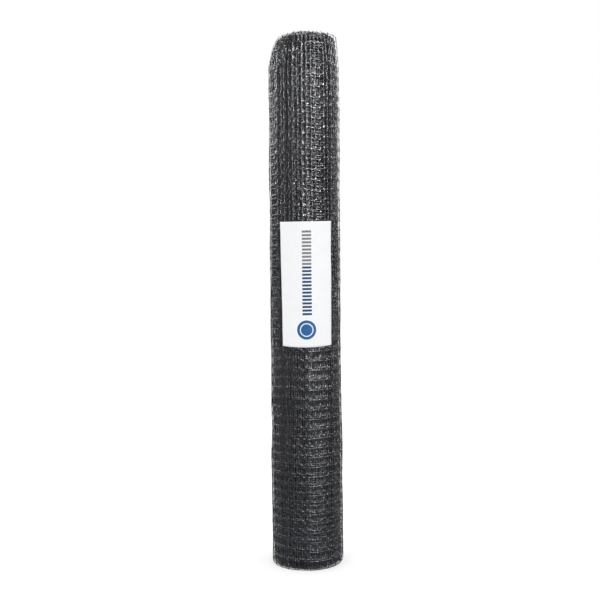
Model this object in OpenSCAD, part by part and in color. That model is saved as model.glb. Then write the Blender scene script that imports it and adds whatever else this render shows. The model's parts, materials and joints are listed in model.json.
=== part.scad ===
// A roll of plastic garden netting, standing on its end.
// The wound netting is one turned solid with the bore that its winding mandrel left.
// Its turns show on both ends as concentric ridges. A paper label is stuck to its front.
// Millimetres. Origin at the centre of the foot, +Z up, the label faces -Y.

/* [Roll] */
// Width of the netting, which is the height of the standing roll
roll_h = 1219.2; // [600:0.1:1830]
// Diameter of the roll at its foot
foot_d = 165; // [120:0.5:240]
// How much smaller the roll's diameter is at its neck, below the top shoulder
neck_taper = 4.4; // [0:0.1:12]
// Diameter of the bore
bore_d = 30; // [16:1:50]
// Radius of the rounded edge that the outer turns make at the foot
foot_round = 7; // [2:0.5:12]

/* [Top shoulder] */
// Height over which the outer turns fall away at the top
shoulder_h = 42; // [10:1:80]
// How far the outer turns draw in over that height
shoulder_in = 12; // [3:0.5:20]
// How much lower the outermost ridge of turns ends than the innermost one
top_drop = 4; // [0:0.5:12]

/* [Turns on the ends] */
// Number of ridges, each of which stands for a few turns of netting
ridges = 17; // [6:1:24]
// Width of the groove between two ridges
groove_w = 1.4; // [0.4:0.1:1.8]
// Depth of the groove between two ridges
groove_d = 2; // [0.5:0.1:3]

/* [Label] */
// Width of the label, measured round the roll
label_w = 127; // [40:1:180]
// Height of the label
label_h = 281; // [60:1:400]
// How far the label's middle lies above the roll's middle
label_rise = 40; // [-60:1:60]
// Thickness of the label with its glue
label_t = 0.4; // [0.2:0.1:1]

/* [Hidden] */
$fn = 96;
ARC_STEPS = 12;

foot_r = foot_d / 2;
neck_r = foot_r - neck_taper / 2;
bore_r = bore_d / 2;
neck_z = roll_h - shoulder_h;

// The wall is a slight cone from the foot to the neck
function wall_r(z) = foot_r - (foot_r - neck_r) * z / neck_z;

// The end faces run from the bore to these rims
foot_rim_r = wall_r(foot_round) - foot_round;
top_rim_r = neck_r - shoulder_in;

label_mid_z = roll_h / 2 + label_rise;
label_low_z = label_mid_z - label_h / 2;
label_high_z = label_mid_z + label_h / 2;
label_arc = label_w / (wall_r(label_mid_z) + label_t) * 180 / PI;

// One end from the bore out to its rim: flat ridges with a V groove between neighbours.
// inward is +1 where the solid lies above the end face and -1 where it lies below.
function end_face(rim_r, bore_z, rim_z, inward) =
    let (pitch = (rim_r - bore_r) / ridges)
    [for (i = [0 : ridges - 1])
        let (r = bore_r + i * pitch, z = bore_z + (rim_z - bore_z) * i / (ridges - 1))
        each concat(
            i == 0 ? [[r, z]] : [[r, z + inward * groove_d], [r + groove_w / 2, z]],
            i == ridges - 1 ? [[r + pitch, z]] : [[r + pitch - groove_w / 2, z]])];

// Points on a quarter of an ellipse with half axes rx and rz, which turns from angle a0.
// steps is a range out of 0 to ARC_STEPS, so that a corner shared with its neighbour is drawn once.
function quarter(centre, rx, rz, a0, steps) =
    [for (i = steps)
        let (a = a0 + 90 * i / ARC_STEPS)
        [centre[0] + rx * cos(a), centre[1] + rz * sin(a)]];

function reversed(points) = [for (i = [len(points) - 1 : -1 : 0]) points[i]];

roll_outline = concat(
    end_face(foot_rim_r, 0, 0, 1),
    quarter([foot_rim_r, foot_round], foot_round, foot_round, -90, [1 : ARC_STEPS]),
    quarter([top_rim_r, neck_z], shoulder_in, shoulder_h - top_drop, 0, [0 : ARC_STEPS - 1]),
    reversed(end_face(top_rim_r, roll_h, roll_h - top_drop, -1)));

label_outline = [
    [wall_r(label_low_z), label_low_z],
    [wall_r(label_low_z) + label_t, label_low_z],
    [wall_r(label_high_z) + label_t, label_high_z],
    [wall_r(label_high_z), label_high_z]];

module netting_roll() {
    color("#3b3d40")
        rotate_extrude()
            polygon(roll_outline);
}

module label() {
    color("#f4f5f7")
        rotate([0, 0, -90 - label_arc / 2])
            rotate_extrude(angle = label_arc)
                polygon(label_outline);
}

netting_roll();
label();
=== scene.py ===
# %% [markdown]
# # A standing roll of plastic garden netting
# One long sheet of black plastic mesh is wound on itself about fifty times and stands on its end,
# with a white paper label stuck to its front. This lesson builds the mesh as real strands,
# because everything the eye reads on such a roll comes from them: the rows and columns, the
# glints on the junctions, and the dark between the turns. The sizes come from the CAD frame.

# %% Load the frame and read its sizes
import json
import math

import bmesh
import bpy
from mathutils import Matrix, Vector, kdtree


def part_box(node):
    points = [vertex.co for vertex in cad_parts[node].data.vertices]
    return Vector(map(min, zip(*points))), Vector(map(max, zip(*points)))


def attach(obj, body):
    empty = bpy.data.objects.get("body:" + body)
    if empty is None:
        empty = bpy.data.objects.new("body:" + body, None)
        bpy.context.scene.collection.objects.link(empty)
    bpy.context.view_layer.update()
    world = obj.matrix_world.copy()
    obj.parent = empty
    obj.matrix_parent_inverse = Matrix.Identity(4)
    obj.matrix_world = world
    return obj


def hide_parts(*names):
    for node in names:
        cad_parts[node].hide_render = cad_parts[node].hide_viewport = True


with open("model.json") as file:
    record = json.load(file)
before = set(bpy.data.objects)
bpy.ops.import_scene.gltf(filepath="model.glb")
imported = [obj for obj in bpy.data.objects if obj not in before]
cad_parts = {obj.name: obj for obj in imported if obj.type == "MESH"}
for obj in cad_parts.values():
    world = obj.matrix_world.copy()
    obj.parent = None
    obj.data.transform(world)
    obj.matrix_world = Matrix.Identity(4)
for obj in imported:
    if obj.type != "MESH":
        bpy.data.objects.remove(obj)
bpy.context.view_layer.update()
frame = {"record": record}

MM = 0.001
roll_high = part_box("netting_roll")[1]
label_low, label_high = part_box("label")
mounts = {mount["name"]: mount for mount in frame["record"]["mounts"]}

ROLL_H = roll_high[2]
FOOT_R = roll_high[0]
BORE_R = mounts["bore"]["dims"]["r_mm"] * MM
print(f"roll {ROLL_H / MM:.0f} mm high, {2 * FOOT_R / MM:.0f} mm across, bore {2 * BORE_R / MM:.0f} mm")

# %% [markdown]
# ## The netting's own measures
# A light extruded netting has meshes of about 22 mm. Its strands are drawn thin when the hot
# sheet is stretched, and the junctions stay thick. The uprights, which stand across the sheet,
# are a little stouter than the rungs that run along it. The turns of the wound sheet lie a
# little over a millimetre apart. How many rows and columns there are follows from the roll.
# A strand is given as half its width, half its thickness, and how much of its face is flat.

# %% Work out rows, columns and turns
MESH = 22.48 * MM
RUNG = (0.65 * MM, 0.40 * MM, 0.4)
UPRIGHT = (0.72 * MM, 0.50 * MM, 0.25)
JUNCTION_W = 2.3 * MM
JUNCTION_T = 1.3 * MM
STUB = 3.6 * MM
PROUD = 1.2 * MM
WAIST_SHARE = 0.9
HUB_FLAT = 0.6
TURNS = 50

TURN_PITCH = (FOOT_R - BORE_R) / TURNS
ROWS = round(ROLL_H / MESH) + 1
SHEET_H = ROLL_H - STUB - JUNCTION_W / 2
ROW = SHEET_H / (ROWS - 1)
SHEET_LENGTH = math.pi * (FOOT_R**2 - BORE_R**2) / TURN_PITCH
COLUMNS = int(SHEET_LENGTH / MESH)
COLUMNS_A_TURN = round(2 * math.pi * FOOT_R / MESH)
print(f"{ROWS} rows, {COLUMNS} columns, {SHEET_LENGTH:.1f} m of netting, {TURN_PITCH / MM:.2f} mm a turn")

# %% [markdown]
# ## One helper for every node tree
# The netting and all the finishes are node trees built in this script. One small function adds
# a node, sets what is given by name, and links or fills its inputs.

# %% The node helper
def add(tree, kind, sockets=(), **settings):
    """Adds one node. sockets is a list in order, or a dict by name or place, of links or values."""
    node = tree.nodes.new(kind)
    for name, value in settings.items():
        setattr(node, name, value)
    for key, value in sockets.items() if isinstance(sockets, dict) else enumerate(sockets):
        if isinstance(value, bpy.types.Node):
            value = value.outputs[0]
        if isinstance(value, bpy.types.NodeSocket):
            tree.links.new(value, node.inputs[key])
        else:
            node.inputs[key].default_value = value
    return node


def srgb(hex_colour):
    """A colour written as sRGB hex, as the linear numbers that Blender wants."""
    parts = [int(hex_colour[i:i + 2], 16) / 255 for i in (1, 3, 5)]
    linear = [p / 12.92 if p <= 0.04045 else ((p + 0.055) / 1.055) ** 2.4 for p in parts]
    return (*linear, 1.0)


# %% [markdown]
# ## One mesh of the netting
# The sheet repeats one junction with half a strand on each of its four sides. That cell is
# built once. Its strands have six sides and a waist where they show, four sides in the turns
# that lie deeper, and four sides and no waist where only a glimpse is left. Two neighbours'
# half strands end in the same points, so the joined sheet can be welded into one skin.

# %% Build the cells
WELD = 0.02 * MM


def strand_section(half_w, half_t, sides, flat):
    """Points (across, out) round a strand, from its left edge over its outer face and back."""
    flat = flat * half_w
    if sides == 6:
        return [(-half_w, 0), (-flat, half_t), (flat, half_t), (half_w, 0), (flat, -half_t), (-flat, -half_t)]
    return [(-half_w, half_t), (half_w, half_t), (half_w, -half_t), (-half_w, -half_t)]


def make_cell(name, sides, waisted):
    """One junction and its four half strands, flat in XY, as an object that is only instanced."""
    cell = bmesh.new()
    junction = cell.verts.layers.float.new("junction")
    hub = strand_section(JUNCTION_W / 2, JUNCTION_T / 2, sides, HUB_FLAT)
    for quarter in range(4):
        turn = Matrix.Rotation(math.radians(90 * quarter), 3, "Z")
        half_pitch = (ROW if quarter % 2 else MESH) / 2
        half_w, half_t, flat = UPRIGHT if quarter % 2 else RUNG
        waist = strand_section(half_w, half_t, sides, flat)
        middle = strand_section(half_w * WAIST_SHARE, half_t * WAIST_SHARE, sides, flat)
        # The hub's points lie on the diagonals, so that two arms share each corner
        loops = [[(abs(across), across, out) for across, out in hub]]
        if waisted:
            loops.append([(STUB, across, out) for across, out in waist])
        loops.append([(half_pitch, across, out) for across, out in middle])
        rings = []
        for step, loop in enumerate(loops):
            ring = [cell.verts.new(turn @ Vector(point)) for point in loop]
            for vert in ring:
                vert[junction] = 1.0 if step == 0 else 0.0
            rings.append(ring)
        for inner, outer in zip(rings, rings[1:]):
            for i in range(len(inner)):
                j = (i + 1) % len(inner)
                face = cell.faces.new((inner[i], outer[i], outer[j], inner[j]))
                face.smooth = True
    bmesh.ops.remove_doubles(cell, verts=cell.verts, dist=WELD)
    # The hub is still open over and under. Where it has side points, they lie between the two
    for side in (1, -1):
        ring = [v for v in cell.verts if v[junction] == 1.0 and v.co.z * side > WELD]
        ring.sort(key=lambda v: side * math.atan2(v.co.y, v.co.x))
        cell.faces.new(ring).smooth = True
    mesh = bpy.data.meshes.new(name)
    cell.to_mesh(mesh)
    cell.free()
    print(f"{name}: {len(mesh.polygons)} faces")
    return bpy.data.objects.new(name, mesh)


shown_cell = make_cell("cell_shown", sides=6, waisted=True)
deeper_cell = make_cell("cell_deeper", sides=4, waisted=True)
deepest_cell = make_cell("cell_deepest", sides=4, waisted=False)

# %% [markdown]
# ## Black polyethylene
# The netting is high-density polyethylene coloured with carbon black, extruded and then
# stretched while hot. That leaves a dark blue-black skin with a soft sheen that comes and goes
# along the drawn strands. Winding and handling leave dust, which is a slow noise between two
# near blacks. Pale flecks lie over it, partly scuffs where strands rubbed together and partly
# painted glints, the sparkle of small bright points on the strands. A real scuff is finer than a
# strand, so the flecks are drawn coarser than life to be seen at all. Towards its foot the
# skin is painted a paler bluish grey, thickest at the floor: painted light, bounced up off the floor.

# %% The netting's finish
DUST_REACH = 45 * MM
DUST_FROM = 0.35
DUST_FULL = 0.7
# How high up and how strongly the foot is painted paler and bluer, as light from the floor
FLOOR_LIGHT_H = 300 * MM
FLOOR_LIGHT_SHARE = 0.5
# Size and spread of the pale flecks, which are partly scuffs and partly painted glints
FLECK_REACH = 4 * MM
FLECKED_FROM = 0.54
FLECKED_FULL = 0.66
DRAWN_REACH = 5 * MM
DRAWN_DEPTH = 0.9 * MM
SHINIEST = 0.2
DULLEST = 0.4


def new_material(name):
    """An empty material with its node tree."""
    material = bpy.data.materials.new(name)
    material.use_nodes = True
    material.node_tree.nodes.clear()
    return material, material.node_tree


def black_polyethylene():
    """The netting's skin: dust, painted floor light at the foot, flecks that are scuffs and painted glints,
    and a sheen that comes and goes.
    """
    material, tree = new_material("Black polyethylene, extruded")
    place = add(tree, "ShaderNodeTexCoord").outputs["Object"]
    dust = add(tree, "ShaderNodeTexNoise", {"Vector": place, "Scale": 1 / DUST_REACH, "Detail": 4.0})
    drawn = add(tree, "ShaderNodeTexNoise", {"Vector": place, "Scale": 1 / DRAWN_REACH, "Detail": 2.0})
    colour = add(tree, "ShaderNodeValToRGB", [dust])
    colour.color_ramp.elements[0].position = DUST_FROM
    colour.color_ramp.elements[0].color = srgb("#111215")
    colour.color_ramp.elements[1].position = DUST_FULL
    colour.color_ramp.elements[1].color = srgb("#1e1f24")
    height = add(tree, "ShaderNodeSeparateXYZ", [place]).outputs["Z"]
    # Painted light: paler and bluer towards the foot, standing in for light bounced up off the floor
    painted_floor_light = add(tree, "ShaderNodeMapRange",
                     {"Value": height, "From Max": FLOOR_LIGHT_H, "To Min": FLOOR_LIGHT_SHARE, "To Max": 0.0})
    dust_and_floor_light = add(tree, "ShaderNodeMix", {"Factor": painted_floor_light, "A": colour, "B": srgb("#33373d")},
                data_type="RGBA").outputs["Result"]
    # Pale flecks at random: partly scuffs, partly painted glints on the strands
    glints_and_scuffs = add(tree, "ShaderNodeTexNoise", {"Vector": place, "Scale": 1 / FLECK_REACH, "Detail": 1.0})
    glints_and_scuffs = add(tree, "ShaderNodeMapRange",
                 {"Value": glints_and_scuffs, "From Min": FLECKED_FROM, "From Max": FLECKED_FULL})
    glinted_and_scuffed = add(tree, "ShaderNodeMix", {"Factor": glints_and_scuffs, "A": dust_and_floor_light, "B": srgb("#505057")},
                  data_type="RGBA")
    rough = add(tree, "ShaderNodeMapRange", {"Value": drawn, "To Min": SHINIEST, "To Max": DULLEST})
    bump = add(tree, "ShaderNodeBump", {"Height": drawn, "Strength": 0.6, "Distance": DRAWN_DEPTH})
    skin = add(tree, "ShaderNodeBsdfPrincipled",
               {"Base Color": glinted_and_scuffed.outputs["Result"], "Roughness": rough, "IOR": 1.53,
                "Specular IOR Level": 0.3, "Normal": bump})
    add(tree, "ShaderNodeOutputMaterial", [skin])
    return material


polyethylene = black_polyethylene()
print(f"{polyethylene.name}: {len(polyethylene.node_tree.nodes)} nodes")

# %% [markdown]
# ## Winding the sheet: the flat net
# Geometry Nodes first lay the cells out flat and weld them. The sheet is edged by a strand at
# its foot and at its free end, so the half strands that stick out there are cut off. Its top
# was cut through the meshes, which leaves a short stub on every upright.

# %% Lay the net out flat
MATH = "ShaderNodeMath"
EDGE_TRIM = 0.6 * JUNCTION_W
TOP_TRIM = SHEET_H + 1.2 * STUB


def flat_net(tree, given):
    """Makes a flat stretch of netting. Returns its geometry and where each point lies on the sheet."""
    gaps_x = add(tree, MATH, [given["Columns"], 1.0], operation="SUBTRACT")
    gaps_y = add(tree, MATH, [given["Rows"], 1.0], operation="SUBTRACT")
    size_x = add(tree, MATH, [gaps_x, given["Mesh width"]], operation="MULTIPLY")
    size_y = add(tree, MATH, [gaps_y, given["Mesh height"]], operation="MULTIPLY")
    grid = add(tree, "GeometryNodeMeshGrid", [size_x, size_y, given["Columns"], given["Rows"]])
    middle_x = add(tree, MATH, [gaps_x, 0.5, given["First column"]], operation="MULTIPLY_ADD")
    middle_y = add(tree, MATH, [gaps_y, 0.5, given["First row"]], operation="MULTIPLY_ADD")
    shift_x = add(tree, MATH, [middle_x, given["Mesh width"]], operation="MULTIPLY")
    shift_y = add(tree, MATH, [middle_y, given["Mesh height"]], operation="MULTIPLY")
    shift = add(tree, "ShaderNodeCombineXYZ", [shift_x, shift_y])
    laid = add(tree, "GeometryNodeTransform", {"Geometry": grid, "Translation": shift})

    cell = add(tree, "GeometryNodeObjectInfo", {"Object": given["Cell"]})
    cells = add(tree, "GeometryNodeInstanceOnPoints", {"Points": laid, "Instance": cell.outputs["Geometry"]})
    real = add(tree, "GeometryNodeRealizeInstances", {"Geometry": cells})
    welded = add(tree, "GeometryNodeMergeByDistance", {"Geometry": real, "Distance": WELD})

    flat = add(tree, "ShaderNodeSeparateXYZ", [add(tree, "GeometryNodeInputPosition")])
    before = add(tree, MATH, [flat.outputs["X"], -EDGE_TRIM], operation="LESS_THAN")
    below = add(tree, MATH, [flat.outputs["Y"], -EDGE_TRIM], operation="LESS_THAN")
    above = add(tree, MATH, [flat.outputs["Y"], TOP_TRIM], operation="GREATER_THAN")
    cut = add(tree, MATH, [before, below], operation="MAXIMUM")
    cut = add(tree, MATH, [cut, above], operation="MAXIMUM")
    sheet = add(tree, "GeometryNodeDeleteGeometry", {"Geometry": welded, "Selection": cut})
    return sheet, flat.outputs


# %% [markdown]
# ## Winding the sheet: the spiral
# A sheet wound with an even gap between its turns makes an Archimedean spiral. The length that
# has been wound uses up the same area whether it is counted as sheet or as a ring, and that
# gives the radius at every place along the sheet without adding up turns one by one.
#
# The uprights of one turn slip into line with those of the turn under it. The two counts say how
# many meshes then go to a turn, in the snug lower half and in the loose top. A whole number
# would stack every upright, and a fraction sets each turn a step aside: about a quarter fills
# the gaps evenly, and just under a half leaves straight dark lines. Where turns nest, Nested is
# 1. The inner turns follow the plain spiral, with 0. The shares are how far up one way of
# winding passes into the other, and TAUT is how much of their sideways wander the straighter
# uprights at the top keep.

# %% Follow the spiral
START_ANGLE = math.radians(-87)
NECK_IN = 2.6 * MM
LOW_COUNT = 23.27
HIGH_COUNT = 23.475
TOP_ROWS_WIDER = 0.07
SNUG_SHARE = 0.45
LOOSE_SHARE = 0.65
TAUT = 0.85


def loosening(tree, share, snug, loose):
    """Passes from the snug value to the loose one, up the sheet."""
    return add(tree, "ShaderNodeMapRange",
               {"Value": share, "From Min": SNUG_SHARE, "From Max": LOOSE_SHARE,
                "To Min": snug, "To Max": loose},
               interpolation_type="SMOOTHSTEP")


def on_the_spiral(tree, given, along, share):
    """Returns the spiral's radius at a place along the sheet, the turns wound by then, and its angle."""
    outer = add(tree, MATH, [share, -NECK_IN, given["Outer radius"]], operation="MULTIPLY_ADD")
    rings = []
    for edge in (outer, given["Outer radius"]):
        ring = add(tree, MATH, [edge, 2.0], operation="POWER")
        bore = add(tree, MATH, [given["Bore radius"], 2.0], operation="POWER")
        rings.append(add(tree, MATH, [ring, bore], operation="SUBTRACT"))
    tighter = add(tree, MATH, rings, operation="DIVIDE")
    pitch = add(tree, MATH, [given["Turn pitch"], tighter], operation="MULTIPLY")

    outer_squared = add(tree, MATH, [outer, 2.0], operation="POWER")
    used = add(tree, MATH, [along, pitch], operation="MULTIPLY")
    used = add(tree, MATH, [used, math.pi], operation="DIVIDE")
    left = add(tree, MATH, [outer_squared, used], operation="SUBTRACT")
    spiral = add(tree, MATH, [left], operation="SQRT")
    wound = add(tree, MATH, [outer, spiral], operation="SUBTRACT")
    turns = add(tree, MATH, [wound, pitch], operation="DIVIDE")

    count = loosening(tree, share, LOW_COUNT, HIGH_COUNT)
    a_turn = add(tree, MATH, [count, given["Mesh width"]], operation="MULTIPLY")
    lined_up = add(tree, MATH, [along, a_turn], operation="DIVIDE")
    ahead = add(tree, MATH, [lined_up, turns], operation="SUBTRACT")
    turns = add(tree, MATH, [ahead, given["Nested"], turns], operation="MULTIPLY_ADD")
    wound = add(tree, MATH, [turns, pitch], operation="MULTIPLY")
    radius = add(tree, MATH, [outer, wound], operation="SUBTRACT")
    angle = add(tree, MATH, [turns, 2 * math.pi, START_ANGLE], operation="MULTIPLY_ADD")
    return radius, turns, angle


def up_the_sheet(tree, across):
    """Returns how far up a point lies, as a share and as a height. The rows open out towards the top."""
    share = add(tree, MATH, [across, SHEET_H], operation="DIVIDE")
    wider = add(tree, MATH, [share, TOP_ROWS_WIDER, 1 - TOP_ROWS_WIDER], operation="MULTIPLY_ADD")
    stretched = add(tree, MATH, [share, wider], operation="MULTIPLY")
    height = add(tree, MATH, [stretched, SHEET_H, JUNCTION_W / 2], operation="MULTIPLY_ADD")
    return share, height


# %% [markdown]
# ## Winding the sheet: how the roll slumps
# The winding isn't a true cylinder. It is a little thinner towards the top, which the spiral
# already gives, and its neck has slumped a touch to the left. The edge of its foot is turned in
# where it stands, mostly on the right, and its top shoulder has been knocked in, mostly on the
# left. Each of these takes a share away from the wall between the bore and the outside, or adds
# one, so the turns are pushed closer together or further apart and never through each other.

# %% Squeeze the turns
NECK_LEFT = -0.008
NECK_RIGHT = 0.008
SHOULDER_H = 70 * MM
SHOULDER_LEFT = 0.33
SHOULDER_RIGHT = 0.08
SHOULDER_SLOPE = 0.65
FOOT_LEFT = 0.02
FOOT_RIGHT = 0.09
SHOULDER_TURN = 6.0
FOOT_EDGE_H = 10 * MM
FOOT_TURN = 2.0


def squeezed_radius(tree, given, spiral, angle, share, height):
    """The radius of a turn once the roll's neck, shoulder and foot have pushed it in."""
    to_right = add(tree, MATH, [angle], operation="COSINE")
    to_right = add(tree, MATH, [to_right, 0.5, 0.5], operation="MULTIPLY_ADD")
    neck = add(tree, "ShaderNodeMapRange", {"Value": to_right, "To Min": NECK_LEFT, "To Max": NECK_RIGHT})
    neck = add(tree, MATH, [neck, share], operation="MULTIPLY")

    up = add(tree, "ShaderNodeMapRange",
             {"Value": height, "From Min": ROLL_H - SHOULDER_H, "From Max": ROLL_H})
    turned_in = add(tree, MATH, [up, SHOULDER_TURN], operation="POWER")
    turned_in = add(tree, MATH, [turned_in, 1 - SHOULDER_SLOPE], operation="MULTIPLY")
    fall = add(tree, MATH, [up, SHOULDER_SLOPE, turned_in], operation="MULTIPLY_ADD")
    amount = add(tree, "ShaderNodeMapRange",
                 {"Value": to_right, "To Min": SHOULDER_LEFT, "To Max": SHOULDER_RIGHT})
    squeeze = add(tree, MATH, [amount, fall, neck], operation="MULTIPLY_ADD")

    down = add(tree, "ShaderNodeMapRange", {"Value": height, "From Min": FOOT_EDGE_H, "From Max": 0.0})
    down = add(tree, MATH, [down, FOOT_TURN], operation="POWER")
    amount = add(tree, "ShaderNodeMapRange", {"Value": to_right, "To Min": FOOT_LEFT, "To Max": FOOT_RIGHT})
    squeeze = add(tree, MATH, [down, amount, squeeze], operation="MULTIPLY_ADD")

    kept = add(tree, MATH, [1.0, squeeze], operation="SUBTRACT")
    wall = add(tree, MATH, [spiral, given["Bore radius"]], operation="SUBTRACT")
    return add(tree, MATH, [wall, kept, given["Bore radius"]], operation="MULTIPLY_ADD")


# %% [markdown]
# ## Winding the sheet: slack
# Thin netting never lies dead true. Every strand wanders a little and is bowed, the whole roll
# has soft lumps, and the free end has sprung away from the roll near the top. These are what
# give the many small glints and shadows, so each is a noise with a size and a reach of its own.
# The amounts of a stray are along the sheet, up it, and out of it.

# %% Let the turns wander
WANDER = (7 * MM, 5 * MM, 1.6 * MM)
WANDER_REACH = 60 * MM
BOWED = (1.2 * MM, 1.5 * MM, 1.2 * MM)
BOW_REACH = 16 * MM
LUMP = 3 * MM
LUMP_REACH = 120 * MM
SPRUNG = 1.8 * MM
SPRUNG_FROM = 0.45
SPRUNG_FULL = 0.9
OFF_BY = 0.2
BACK_FROM = 0.45
BACK_BY = 0.9


def wandering(tree, given, flat):
    """How far a strand strays along the sheet, across it and out of it."""
    spot = add(tree, "ShaderNodeCombineXYZ", [flat["X"], flat["Y"], given["Seed"]])
    strays = []
    for reach, amounts in ((WANDER_REACH, WANDER), (BOW_REACH, BOWED)):
        noise = add(tree, "ShaderNodeTexNoise", {"Vector": spot, "Scale": 1 / reach, "Detail": 1.0})
        centred = [noise.outputs["Color"], (-0.5, -0.5, -0.5)]
        stray = add(tree, "ShaderNodeVectorMath", centred, operation="ADD")
        strays.append(add(tree, "ShaderNodeVectorMath", [stray, amounts], operation="MULTIPLY"))
    both = add(tree, "ShaderNodeVectorMath", strays, operation="ADD")
    return add(tree, "ShaderNodeSeparateXYZ", [both]).outputs


def lumpiness(tree, angle, share):
    """How far the whole roll swells at a place, which all its turns share."""
    east = add(tree, MATH, [angle], operation="COSINE")
    north = add(tree, MATH, [angle], operation="SINE")
    around = add(tree, "ShaderNodeCombineXYZ", [east, north, share])
    around = add(tree, "ShaderNodeVectorMath", [around, (FOOT_R, FOOT_R, ROLL_H)], operation="MULTIPLY")
    noise = add(tree, "ShaderNodeTexNoise", {"Vector": around, "Scale": 1 / LUMP_REACH, "Detail": 1.0})
    return add(tree, "ShaderNodeMapRange", {"Value": noise, "To Min": -LUMP, "To Max": LUMP})


def sprung_end(tree, turns, share):
    """How far the last turn has sprung off the roll, on the right and near the top."""
    off = add(tree, "ShaderNodeMapRange", {"Value": turns, "From Max": OFF_BY},
              interpolation_type="SMOOTHSTEP")
    back = add(tree, "ShaderNodeMapRange",
               {"Value": turns, "From Min": BACK_FROM, "From Max": BACK_BY, "To Min": 1.0, "To Max": 0.0},
               interpolation_type="SMOOTHSTEP")
    high = add(tree, "ShaderNodeMapRange",
               {"Value": share, "From Min": SPRUNG_FROM, "From Max": SPRUNG_FULL},
               interpolation_type="SMOOTHSTEP")
    off = add(tree, MATH, [off, back], operation="MULTIPLY")
    off = add(tree, MATH, [off, high], operation="MULTIPLY")
    return add(tree, MATH, [off, SPRUNG], operation="MULTIPLY")


# %% [markdown]
# ## Winding the sheet: creep
# Each turn has also crept up against its neighbours: furthest in the loose top, and least about
# a third of the way up, where the rows of the turns lie one behind the other and read clearly.
# The top edge was trimmed after that, so the creep there is halved and goes both ways, and the
# cut stays nearly level. At the foot the outermost turn has settled on the floor, and those
# inside it keep a share of their creep. The free end is held by the label, and the creep sets in
# over the turn that follows it. The rate says how quickly the creep changes from turn to turn.
# The rows also slope down a little to the left, more so the higher they are, as on a roll that
# was fed out of true.

# %% Let the turns creep
CREEP_FOOT = 17 * MM
CREEP_LOW = 8 * MM
CREEP_HIGH = 26 * MM
SNUGGEST_SHARE = 0.3
CREEP_RATE = 1.715
NOISE_LOW = 0.25
NOISE_HIGH = 0.75
TRIMMED_FROM = 0.9
TRIMMED_DOWN = 0.8
TRIMMED_LEVEL = 0.5
SETTLED_H = 60 * MM
END_HELD = 1.2
LIFTED_FROM = 1.0
LIFTED_FULL = 2.5
OFF_THE_FLOOR = 0.25
WIND_TILT = math.tan(math.radians(1.2))


def crept_height(tree, turns, angle, share, height, stray):
    """A point's height once its turn has crept up against its neighbours."""
    creep = add(tree, "ShaderNodeTexNoise", {"W": turns, "Scale": CREEP_RATE, "Detail": 0.0},
                noise_dimensions="1D")
    # Noise hardly leaves the middle of its range, so the middle is stretched to go from none to all
    creep = add(tree, "ShaderNodeMapRange", {"Value": creep, "From Min": NOISE_LOW, "From Max": NOISE_HIGH})
    snug = add(tree, "ShaderNodeMapRange",
               {"Value": share, "From Max": SNUGGEST_SHARE, "To Min": CREEP_FOOT, "To Max": CREEP_LOW})
    amount = loosening(tree, share, snug, CREEP_HIGH)
    trimmed = add(tree, "ShaderNodeMapRange", {"Value": share, "From Min": TRIMMED_FROM, "From Max": 1.0})
    level = add(tree, MATH, [trimmed, -TRIMMED_LEVEL, 1.0], operation="MULTIPLY_ADD")
    amount = add(tree, MATH, [amount, level], operation="MULTIPLY")
    creep = add(tree, MATH, [trimmed, -TRIMMED_DOWN, creep], operation="MULTIPLY_ADD")
    creep = add(tree, MATH, [creep, amount], operation="MULTIPLY")
    below_the_end = add(tree, "ShaderNodeMapRange", {"Value": turns, "From Max": END_HELD})
    settled = add(tree, "ShaderNodeMapRange", {"Value": height, "From Max": SETTLED_H})
    stray = add(tree, MATH, [stray, settled], operation="MULTIPLY")
    off_the_floor = add(tree, "ShaderNodeMapRange",
                        {"Value": turns, "From Min": LIFTED_FROM, "From Max": LIFTED_FULL,
                         "To Max": OFF_THE_FLOOR})
    free = add(tree, MATH, [settled, off_the_floor], operation="MAXIMUM")
    creep = add(tree, MATH, [creep, free], operation="MULTIPLY")
    drift = add(tree, MATH, [creep, below_the_end, stray], operation="MULTIPLY_ADD")
    to_right = add(tree, MATH, [angle], operation="COSINE")
    tilt = add(tree, MATH, [to_right, FOOT_R * WIND_TILT, -FOOT_R * WIND_TILT], operation="MULTIPLY_ADD")
    drift = add(tree, MATH, [tilt, share, drift], operation="MULTIPLY_ADD")
    return add(tree, MATH, [height, drift], operation="ADD")


# %% [markdown]
# ## Winding the sheet: the whole tree
# The tree puts the steps together: it lays the net flat, and moves every point from its place
# on the sheet to its place on the roll. The same tree makes every stretch of the netting, and
# its inputs say which rows and columns, so stretches made apart still meet strand to strand.

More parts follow.
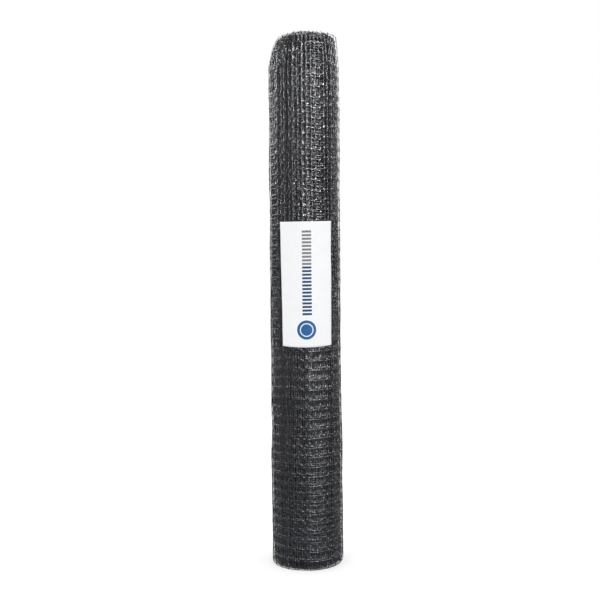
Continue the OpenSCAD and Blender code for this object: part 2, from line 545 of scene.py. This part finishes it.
# %% The winding tree
def winding_tree():
    """The Geometry Nodes tree that lays out one stretch of the sheet and winds it on the roll."""
    tree = bpy.data.node_groups.new("Wound netting", "GeometryNodeTree")
    tree.interface.new_socket("Netting", in_out="OUTPUT", socket_type="NodeSocketGeometry")
    for name, kind, value in (
            ("Cell", "NodeSocketObject", None),
            ("Finish", "NodeSocketMaterial", None),
            ("First column", "NodeSocketInt", 0),
            ("Columns", "NodeSocketInt", 2),
            ("First row", "NodeSocketInt", 0),
            ("Rows", "NodeSocketInt", 2),
            ("Mesh width", "NodeSocketFloat", MESH),
            ("Mesh height", "NodeSocketFloat", ROW),
            ("Turn pitch", "NodeSocketFloat", TURN_PITCH),
            ("Outer radius", "NodeSocketFloat", FOOT_R + PROUD),
            ("Bore radius", "NodeSocketFloat", BORE_R),
            ("Nested", "NodeSocketFloat", 1.0),
            ("Seed", "NodeSocketFloat", 7.0)):
        socket = tree.interface.new_socket(name, in_out="INPUT", socket_type=kind)
        if value is not None:
            socket.default_value = value
    given = add(tree, "NodeGroupInput").outputs

    sheet, flat = flat_net(tree, given)
    share, height = up_the_sheet(tree, flat["Y"])
    spiral, turns, angle = on_the_spiral(tree, given, flat["X"], share)
    radius = squeezed_radius(tree, given, spiral, angle, share, height)
    stray = wandering(tree, given, flat)

    for out in (flat["Z"], stray["Z"], lumpiness(tree, angle, share), sprung_end(tree, turns, share)):
        radius = add(tree, MATH, [radius, out], operation="ADD")
    height = crept_height(tree, turns, angle, share, height, stray["Y"])
    turned = add(tree, MATH, [stray["X"], radius], operation="DIVIDE")
    turned = add(tree, MATH, [turned, loosening(tree, share, 1.0, TAUT)], operation="MULTIPLY")
    angle = add(tree, MATH, [angle, turned], operation="ADD")

    east = add(tree, MATH, [angle], operation="COSINE")
    north = add(tree, MATH, [angle], operation="SINE")
    x = add(tree, MATH, [east, radius], operation="MULTIPLY")
    y = add(tree, MATH, [north, radius], operation="MULTIPLY")
    on_roll = add(tree, "ShaderNodeCombineXYZ", [x, y, height])
    wound = add(tree, "GeometryNodeSetPosition", {"Geometry": sheet, "Position": on_roll})
    finished = add(tree, "GeometryNodeSetMaterial", {"Geometry": wound, "Material": given["Finish"]})
    add(tree, "NodeGroupOutput", [finished])
    return tree


winding = winding_tree()
print(f"{winding.name}: {len(winding.nodes)} nodes")

# %% [markdown]
# ## Cutting the sheet into pieces
# The whole roll is far too fine to hold as one mesh, and only its outer turns and its two ends
# can be seen. So the outer turns are whole, each set with less detail than the one over it,
# and of the turns inside them only a few rows at both ends and the lining of the bore are made.
# A strand that is cut off, at an edge of the sheet or where two pieces meet, gets a flat cap.

# %% Make the stretches of netting
def close_strand_ends(mesh):
    """Caps every strand that is cut off, at the sheet's edges and where two pieces meet."""
    skin = bmesh.new()
    skin.from_mesh(mesh)
    cut = [edge for edge in skin.edges if edge.is_boundary]
    caps = bmesh.ops.holes_fill(skin, edges=cut, sides=0)["faces"]
    skin.to_mesh(mesh)
    skin.free()
    return len(caps)


def make_netting(name, cell, columns, rows, nested=1.0):
    """One stretch of the wound sheet. columns and rows are (first, how many)."""
    piece = bpy.data.objects.new(name, bpy.data.meshes.new(name))
    bpy.context.scene.collection.objects.link(piece)
    wrap = piece.modifiers.new("Wound netting", "NODES")
    wrap.node_group = winding
    names = {item.name: item.identifier for item in winding.interface.items_tree if item.in_out == "INPUT"}
    values = {"Cell": cell, "Finish": polyethylene, "First column": columns[0], "Columns": columns[1],
              "First row": rows[0], "Rows": rows[1], "Nested": nested}
    for given, value in values.items():
        wrap[names[given]] = value
    wound = piece.evaluated_get(bpy.context.evaluated_depsgraph_get())
    mesh = bpy.data.meshes.new_from_object(wound)
    piece.modifiers.clear()
    piece.data = mesh
    mesh.name = name
    caps = close_strand_ends(mesh)
    triangles = sum(len(face.vertices) - 2 for face in mesh.polygons)
    print(f"{name}: {triangles} triangles, {caps} cut ends")
    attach(piece, "root")
    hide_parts("netting_roll")
    return piece, triangles


# %% Make the outer turns
SHOWN_TURNS = 3
DEEPER_TURNS = 3
DEEPEST_TURNS = 4
ALL_ROWS = (0, ROWS)

outer_turns = []
column = 0
total = 0
stretches = [(f"outer_turn_{i + 1}", shown_cell, 1) for i in range(SHOWN_TURNS)]
stretches += [(f"turn_below_{i + 1}", deeper_cell, 1) for i in range(DEEPER_TURNS)]
stretches += [("deep_turns", deepest_cell, DEEPEST_TURNS)]
for name, cell, turns in stretches:
    piece, triangles = make_netting(name, cell, (column, turns * COLUMNS_A_TURN), ALL_ROWS)
    outer_turns.append(piece)
    column += turns * COLUMNS_A_TURN
    total += triangles

# %% Make both ends and the bore's lining
END_ROWS = 3
LINING_TURNS = 2
LINING_COLUMNS = round(LINING_TURNS * 2 * math.pi * BORE_R / MESH)
inner = (column, COLUMNS - LINING_COLUMNS - column)
for name, columns, rows in (
        ("inner_turns_foot", inner, (0, END_ROWS)),
        ("inner_turns_top", inner, (ROWS - END_ROWS, END_ROWS)),
        ("bore_lining", (COLUMNS - LINING_COLUMNS, LINING_COLUMNS), ALL_ROWS)):
    _, triangles = make_netting(name, deepest_cell, columns, rows, nested=0.0)
    total += triangles
print(f"netting: {total} triangles")

# %% [markdown]
# ## The turns that nothing shows
# Between the bore's lining and the outer turns, and behind the rows at both ends, about forty
# turns of mesh close off every view. A plain closed ring stands for them.

# %% The hidden turns
def lathe(name, outline, steps):
    """A closed ring turned round Z from an outline of (radius, height), up its outside and down its bore."""
    ring = bmesh.new()
    loops = []
    for step in range(steps):
        angle = 2 * math.pi * step / steps
        loops.append([ring.verts.new((r * math.cos(angle), r * math.sin(angle), z)) for r, z in outline])
    for here, there in zip(loops, loops[1:] + loops[:1]):
        for i in range(len(outline)):
            j = (i + 1) % len(outline)
            ring.faces.new((here[i], there[i], there[j], here[j]))
    mesh = bpy.data.meshes.new(name)
    ring.to_mesh(mesh)
    ring.free()
    piece = bpy.data.objects.new(name, mesh)
    bpy.context.scene.collection.objects.link(piece)
    return piece


RING_STEPS = 128
NECK_ROOM = 4 * MM
# The ring reaches in behind the strand tips of the end rows, so that no gap shows between them
END_COVER = 0.8
hidden_inside = BORE_R + (LINING_TURNS + 1) * TURN_PITCH
hidden_outside = FOOT_R - (SHOWN_TURNS + DEEPER_TURNS + DEEPEST_TURNS + 1) * TURN_PITCH
hidden_low = END_COVER * END_ROWS * ROW
hidden_high = ROLL_H - hidden_low
hidden_turns = lathe("hidden_turns", [
    (hidden_outside, hidden_low), (hidden_outside - NECK_ROOM, hidden_high),
    (hidden_inside, hidden_high), (hidden_inside, hidden_low)], RING_STEPS)
hidden_turns.data.materials.append(polyethylene)
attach(hidden_turns, "root")
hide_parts("netting_roll")
print(f"hidden turns from {hidden_inside / MM:.0f} to {hidden_outside / MM:.0f} mm out")

# %% [markdown]
# ## The paper label
# A printed sheet of paper is glued round the front of the roll. Stiff paper can't follow the
# meshes: it rests on the junctions under it and spans the holes. So each point of the label's
# grid asks for the proudest strand nearby, those answers are smoothed as paper would smooth
# them, and the corners, which the glue doesn't hold, curl away a little. The higher the two
# powers of the curl are, the nearer it stays to the corners. The label's width is kept as a
# length round the radius it really lies at. Pressed on by hand, it sits a little to the right
# and out of level, its sides lean in towards its foot, and its two ends sag in the middle.

# %% Feel for the junctions
LABEL_R = -label_low[1]
LABEL_ARC = 2 * math.asin(label_high[0] / LABEL_R)
LABEL_H = label_high[2] - label_low[2]
PAPER_FEELS = 14 * MM
STIFFNESS = 12
ACROSS_STEPS = 32
UP_STEPS = 72


def paper_radii():
    """How far out the paper lies at each point of its grid, as rows from its foot up."""
    verts = [v.co for v in outer_turns[0].data.vertices]
    low, high = label_low[2] - PAPER_FEELS, label_high[2] + PAPER_FEELS
    near = [co for co in verts if co.y < 0 and low < co.z < high]
    tree = kdtree.KDTree(len(near))
    for i, co in enumerate(near):
        tree.insert(co, i)
    tree.balance()
    radii = []
    for row in range(UP_STEPS + 1):
        z = label_low[2] + LABEL_H * row / UP_STEPS
        line = []
        for step in range(ACROSS_STEPS + 1):
            angle = -math.pi / 2 + LABEL_ARC * (step / ACROSS_STEPS - 0.5)
            spot = Vector((LABEL_R * math.cos(angle), LABEL_R * math.sin(angle), z))
            found = tree.find_range(spot, PAPER_FEELS)
            line.append(max(math.hypot(co.x, co.y) for co, _, _ in found))
        radii.append(line)
    for _ in range(STIFFNESS):
        radii = [[(radii[max(r - 1, 0)][c] + radii[min(r + 1, UP_STEPS)][c]
                   + line[max(c - 1, 0)] + line[min(c + 1, ACROSS_STEPS)]) / 4
                  for c in range(ACROSS_STEPS + 1)] for r, line in enumerate(radii)]
    return radii


radii = paper_radii()
print(f"the paper lies {min(map(min, radii)) / MM:.1f} to {max(map(max, radii)) / MM:.1f} mm out")

# %% Lay the label on the junctions
LABEL_W = LABEL_ARC * LABEL_R
PAPER_T = 0.25 * MM
CORNER_CURL = 1.2 * MM
CURL_ACROSS = 6
CURL_UP = 8
LEFT_LEANS_IN = 6 * MM
RIGHT_LEANS_IN = 2.5 * MM
SET_RIGHT = 1.5 * MM
SLANT = 0.6 * MM
TOP_SAG = 1.6 * MM
FOOT_SAG = 3.4 * MM


def paper_label(radii):
    """The sheet of paper, from how far out it lies at each point of its grid."""
    paper_r = sum(sum(line) for line in radii) / sum(len(line) for line in radii)
    sheet = bmesh.new()
    print_map = sheet.loops.layers.uv.new("print_mm")
    points = []
    for row in range(UP_STEPS + 1):
        up = row / UP_STEPS
        line = []
        for step in range(ACROSS_STEPS + 1):
            side = 2 * step / ACROSS_STEPS - 1
            leaning_in = (LEFT_LEANS_IN * (1 - side) - RIGHT_LEANS_IN * (1 + side)) / 2
            across = side * LABEL_W / 2 + leaning_in * (1 - up)
            angle = -math.pi / 2 + (across + SET_RIGHT) / paper_r
            curl = CORNER_CURL * abs(side) ** CURL_ACROSS * abs(2 * up - 1) ** CURL_UP
            radius = radii[row][step] + PAPER_T + curl
            sag = FOOT_SAG + (TOP_SAG - FOOT_SAG) * up
            height = label_low[2] + LABEL_H * up + SLANT * side - sag * (1 - side**2)
            place = (radius * math.cos(angle), radius * math.sin(angle), height)
            line.append((sheet.verts.new(place), across, LABEL_H * up))
        points.append(line)
    for low, high in zip(points, points[1:]):
        for i in range(ACROSS_STEPS):
            corners = (low[i], low[i + 1], high[i + 1], high[i])
            face = sheet.faces.new([vert for vert, _, _ in corners])
            face.smooth = True
            for loop, (_, along, above) in zip(face.loops, corners):
                loop[print_map].uv = (along / MM, above / MM)
    mesh = bpy.data.meshes.new("paper_label")
    sheet.to_mesh(mesh)
    sheet.free()
    piece = bpy.data.objects.new("paper_label", mesh)
    bpy.context.scene.collection.objects.link(piece)
    thick = piece.modifiers.new("Paper thickness", "SOLIDIFY")
    thick.thickness = PAPER_T
    thick.offset = -1
    thick.material_offset = 1
    thick.material_offset_rim = 1
    return piece


label = paper_label(radii)
print(f"label {LABEL_W / MM:.0f} x {LABEL_H / MM:.0f} mm")

# %% [markdown]
# ## Printed paper
# Coated label paper is bright white and nearly smooth, with a faint mottle in the sheet. The
# print is plain: a scale of short bars that runs up the middle, blue below and grey above, and
# a blue disc with a ring left out of it. All of it is worked out from the label's own map,
# which is in millimetres from its middle and its foot. The back and the cut edges are bare
# paper, uncoated, and a shade warmer and duller than the front.

# %% The plain back
FIBRE = 2 * MM


def plain_paper():
    """Bare paper, for the back and the cut edges."""
    material, tree = new_material("Label paper, plain back")
    place = add(tree, "ShaderNodeTexCoord").outputs["Object"]
    fibre = add(tree, "ShaderNodeTexNoise", {"Vector": place, "Scale": 1 / FIBRE, "Detail": 3.0})
    colour = add(tree, "ShaderNodeMix", {"Factor": fibre, "A": srgb("#e6e5e1"), "B": srgb("#efeeea")},
                 data_type="RGBA")
    skin = add(tree, "ShaderNodeBsdfPrincipled",
               {"Base Color": colour.outputs["Result"], "Roughness": 0.85, "IOR": 1.5})
    add(tree, "ShaderNodeOutputMaterial", [skin])
    return material


# %% The printed front
BAR_PITCH = 8.0
BAR_SHARE = 0.6
BLUE_BARS = (72.0, 184.0)
GREY_BARS = (184.0, 264.0)
BARS_LEFT = -9.0
BARS_RIGHT = 12.0
DISC_UP = 39.0
DISC_R = 21.5
RING_R = 13.0
RING_W = 2.2
MOTTLE_REACH = 18 * MM
GRAIN = 1.5 * MM
GRAIN_DEPTH = 0.1 * MM


def between(tree, value, low, high):
    """1 where value lies from low to high."""
    over = add(tree, MATH, [value, low], operation="GREATER_THAN")
    under = add(tree, MATH, [value, high], operation="LESS_THAN")
    return add(tree, MATH, [over, under], operation="MULTIPLY")


def printed_paper():
    """Coated paper with its scale of bars and its disc, drawn on the label's map in millimetres."""
    material, tree = new_material("Coated label paper, printed")
    spot = add(tree, "ShaderNodeSeparateXYZ", [add(tree, "ShaderNodeUVMap", uv_map="print_mm")]).outputs
    bar = add(tree, MATH, [spot["Y"], BAR_PITCH], operation="DIVIDE")
    bar = add(tree, MATH, [bar], operation="FRACT")
    bar = add(tree, MATH, [bar, BAR_SHARE], operation="LESS_THAN")
    bar = add(tree, MATH, [bar, between(tree, spot["X"], BARS_LEFT, BARS_RIGHT)], operation="MULTIPLY")
    blue = add(tree, MATH, [bar, between(tree, spot["Y"], *BLUE_BARS)], operation="MULTIPLY")
    grey = add(tree, MATH, [bar, between(tree, spot["Y"], *GREY_BARS)], operation="MULTIPLY")

    up = add(tree, MATH, [spot["Y"], DISC_UP], operation="SUBTRACT")
    away = add(tree, "ShaderNodeVectorMath",
               [add(tree, "ShaderNodeCombineXYZ", [spot["X"], up])], operation="LENGTH").outputs["Value"]
    disc = add(tree, MATH, [away, DISC_R], operation="LESS_THAN")
    ring = between(tree, away, RING_R, RING_R + RING_W)
    disc = add(tree, MATH, [disc, ring], operation="SUBTRACT")

    place = add(tree, "ShaderNodeTexCoord").outputs["Object"]
    mottle = add(tree, "ShaderNodeTexNoise", {"Vector": place, "Scale": 1 / MOTTLE_REACH, "Detail": 3.0})
    paper = add(tree, "ShaderNodeMix", {"Factor": mottle, "A": srgb("#eff0f3"), "B": srgb("#f6f7f8")},
                data_type="RGBA")
    colour = paper.outputs["Result"]
    for mask, ink in ((grey, "#7e7e82"), (blue, "#06416a"), (disc, "#185c97")):
        inked = add(tree, "ShaderNodeMix", {"Factor": mask, "A": colour, "B": srgb(ink)}, data_type="RGBA")
        colour = inked.outputs["Result"]
    grain = add(tree, "ShaderNodeTexNoise", {"Vector": place, "Scale": 1 / GRAIN, "Detail": 2.0})
    bump = add(tree, "ShaderNodeBump", {"Height": grain, "Strength": 0.15, "Distance": GRAIN_DEPTH})
    skin = add(tree, "ShaderNodeBsdfPrincipled",
               {"Base Color": colour, "Roughness": 0.7, "IOR": 1.5, "Specular IOR Level": 0.1,
                "Normal": bump})
    add(tree, "ShaderNodeOutputMaterial", [skin])
    return material


label.data.materials.append(printed_paper())
label.data.materials.append(plain_paper())
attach(label, "root")
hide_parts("label")
print("label finish: " + ", ".join(material.name for material in label.data.materials))

# %% [markdown]
# ## Camera
# The camera stands two metres away at about the middle of the roll, looks a touch down, and
# leans by half a degree, so that the roll seems to lean the other way.

# %% Set the camera
scene = bpy.context.scene
scene.view_settings.view_transform = "Standard"

CAMERA_LEFT = 0.0128
CAMERA_FAR = 2.02
CAMERA_H = 0.648
CAMERA_DOWN = math.radians(1.05)
CAMERA_LEAN = math.radians(-0.54)
LENS = 51.8
SENSOR = 36
camera = bpy.data.objects.new("camera", bpy.data.cameras.new("camera"))
scene.collection.objects.link(camera)
camera.data.sensor_width = SENSOR
camera.data.lens = LENS
camera.matrix_world = (Matrix.Translation((-CAMERA_LEFT, -CAMERA_FAR, CAMERA_H))
                       @ Matrix.Rotation(math.pi / 2 - CAMERA_DOWN, 4, "X")
                       @ Matrix.Rotation(CAMERA_LEAN, 4, "Z"))
scene.camera = camera
print(f"camera {CAMERA_FAR:.2f} m off, {CAMERA_H:.2f} m up, {LENS} mm lens")

# %% [markdown]
# ## Studio
# The roll stands in a white studio. An even white light from all round falls on the paper, the
# floor and the strands, at a level at which their colours come out about as they are written,
# and the floor adds a little glow of its own to the camera so that only the roll's own shadow
# is left on it. The sheen needs more: three narrow upright lamps stand round the roll, and they
# are made to be seen in glossy skins alone, as a studio's strips can be shaded off the paper and
# the backdrop. The high one on the right is mirrored by the uprights near the top and by
# the rungs under them, and draws the bright band down the roll. The low one is so low that only
# the rungs catch it, as the label covers the uprights that would. The third, behind on the
# left, lights the left edge near the top in the same way.

# %% The light from all round
AMBIENT = 1.23


def whiter_to_the_camera(tree, seen, otherwise):
    """Mixes what the camera and the reflections see with what lights the object."""
    path = add(tree, "ShaderNodeLightPath").outputs
    looked_at = add(tree, MATH, [path["Is Camera Ray"], path["Is Glossy Ray"]], operation="MAXIMUM")
    looked_at = add(tree, MATH, [looked_at, path["Is Transmission Ray"]], operation="MAXIMUM")
    return add(tree, "ShaderNodeMixShader", [looked_at, otherwise, seen])


world = bpy.data.worlds.new("studio")
scene.world = world
world.use_nodes = True
tree = world.node_tree
tree.nodes.clear()
soft = add(tree, "ShaderNodeBackground", [(1, 1, 1, 1), AMBIENT])
white = add(tree, "ShaderNodeBackground", [(1, 1, 1, 1), 1.0])
add(tree, "ShaderNodeOutputWorld", [whiter_to_the_camera(tree, white, soft)])
print(f"light from all round at {AMBIENT}")

# %% The pale floor
FLOOR_GLOW = 0.45
FLOOR_COLOUR = "#c9c9c9"
FLOOR_R = 6.0
FLOOR_STEPS = 64

material, tree = new_material("Pale studio floor")
lit = add(tree, "ShaderNodeBsdfDiffuse", [srgb(FLOOR_COLOUR)])
glow = add(tree, "ShaderNodeEmission", [(1, 1, 1, 1), FLOOR_GLOW])
lifted = add(tree, "ShaderNodeAddShader", [lit, glow])
add(tree, "ShaderNodeOutputMaterial", [whiter_to_the_camera(tree, lifted, lit)])
floor = lathe("floor", [(FLOOR_R, -MM), (FLOOR_R, 0), (MM, 0), (MM, -MM)], FLOOR_STEPS)
floor.data.materials.append(material)
print(f"floor {2 * FLOOR_R:.0f} m across")

# %% The narrow lamps
LAMP_FAR = 3.0
LAMP_W = 0.3
LAMP_COLOUR = (0.95, 0.95, 1.0)


def strip_light(name, side, low, high, gleam):
    """A lamp from low to high that faces the roll. side is in degrees, from the front to the right."""
    lamp = bpy.data.objects.new(name, bpy.data.lights.new(name, "AREA"))
    scene.collection.objects.link(lamp)
    lamp.data.shape = "RECTANGLE"
    lamp.data.size = LAMP_W
    lamp.data.size_y = high - low
    # Power goes with length, so the same gleam is as bright in a long lamp as in a short one
    lamp.data.energy = gleam * math.pi * LAMP_FAR * (high - low)
    lamp.data.color = LAMP_COLOUR
    lamp.visible_diffuse = False
    angle = math.radians(side - 90)
    spot = (LAMP_FAR * math.cos(angle), LAMP_FAR * math.sin(angle), (low + high) / 2)
    facing = Matrix.Rotation(angle + math.pi / 2, 4, "Z") @ Matrix.Rotation(math.pi / 2, 4, "X")
    lamp.matrix_world = Matrix.Translation(spot) @ facing
    print(f"{name}: {side} degrees round, {low} to {high} m up")


strip_light("key_high", side=38, low=1.95, high=2.6, gleam=145)
strip_light("key_low", side=19, low=0.7, high=0.85, gleam=64)
strip_light("left_rim", side=-135, low=1.4, high=2.4, gleam=8)
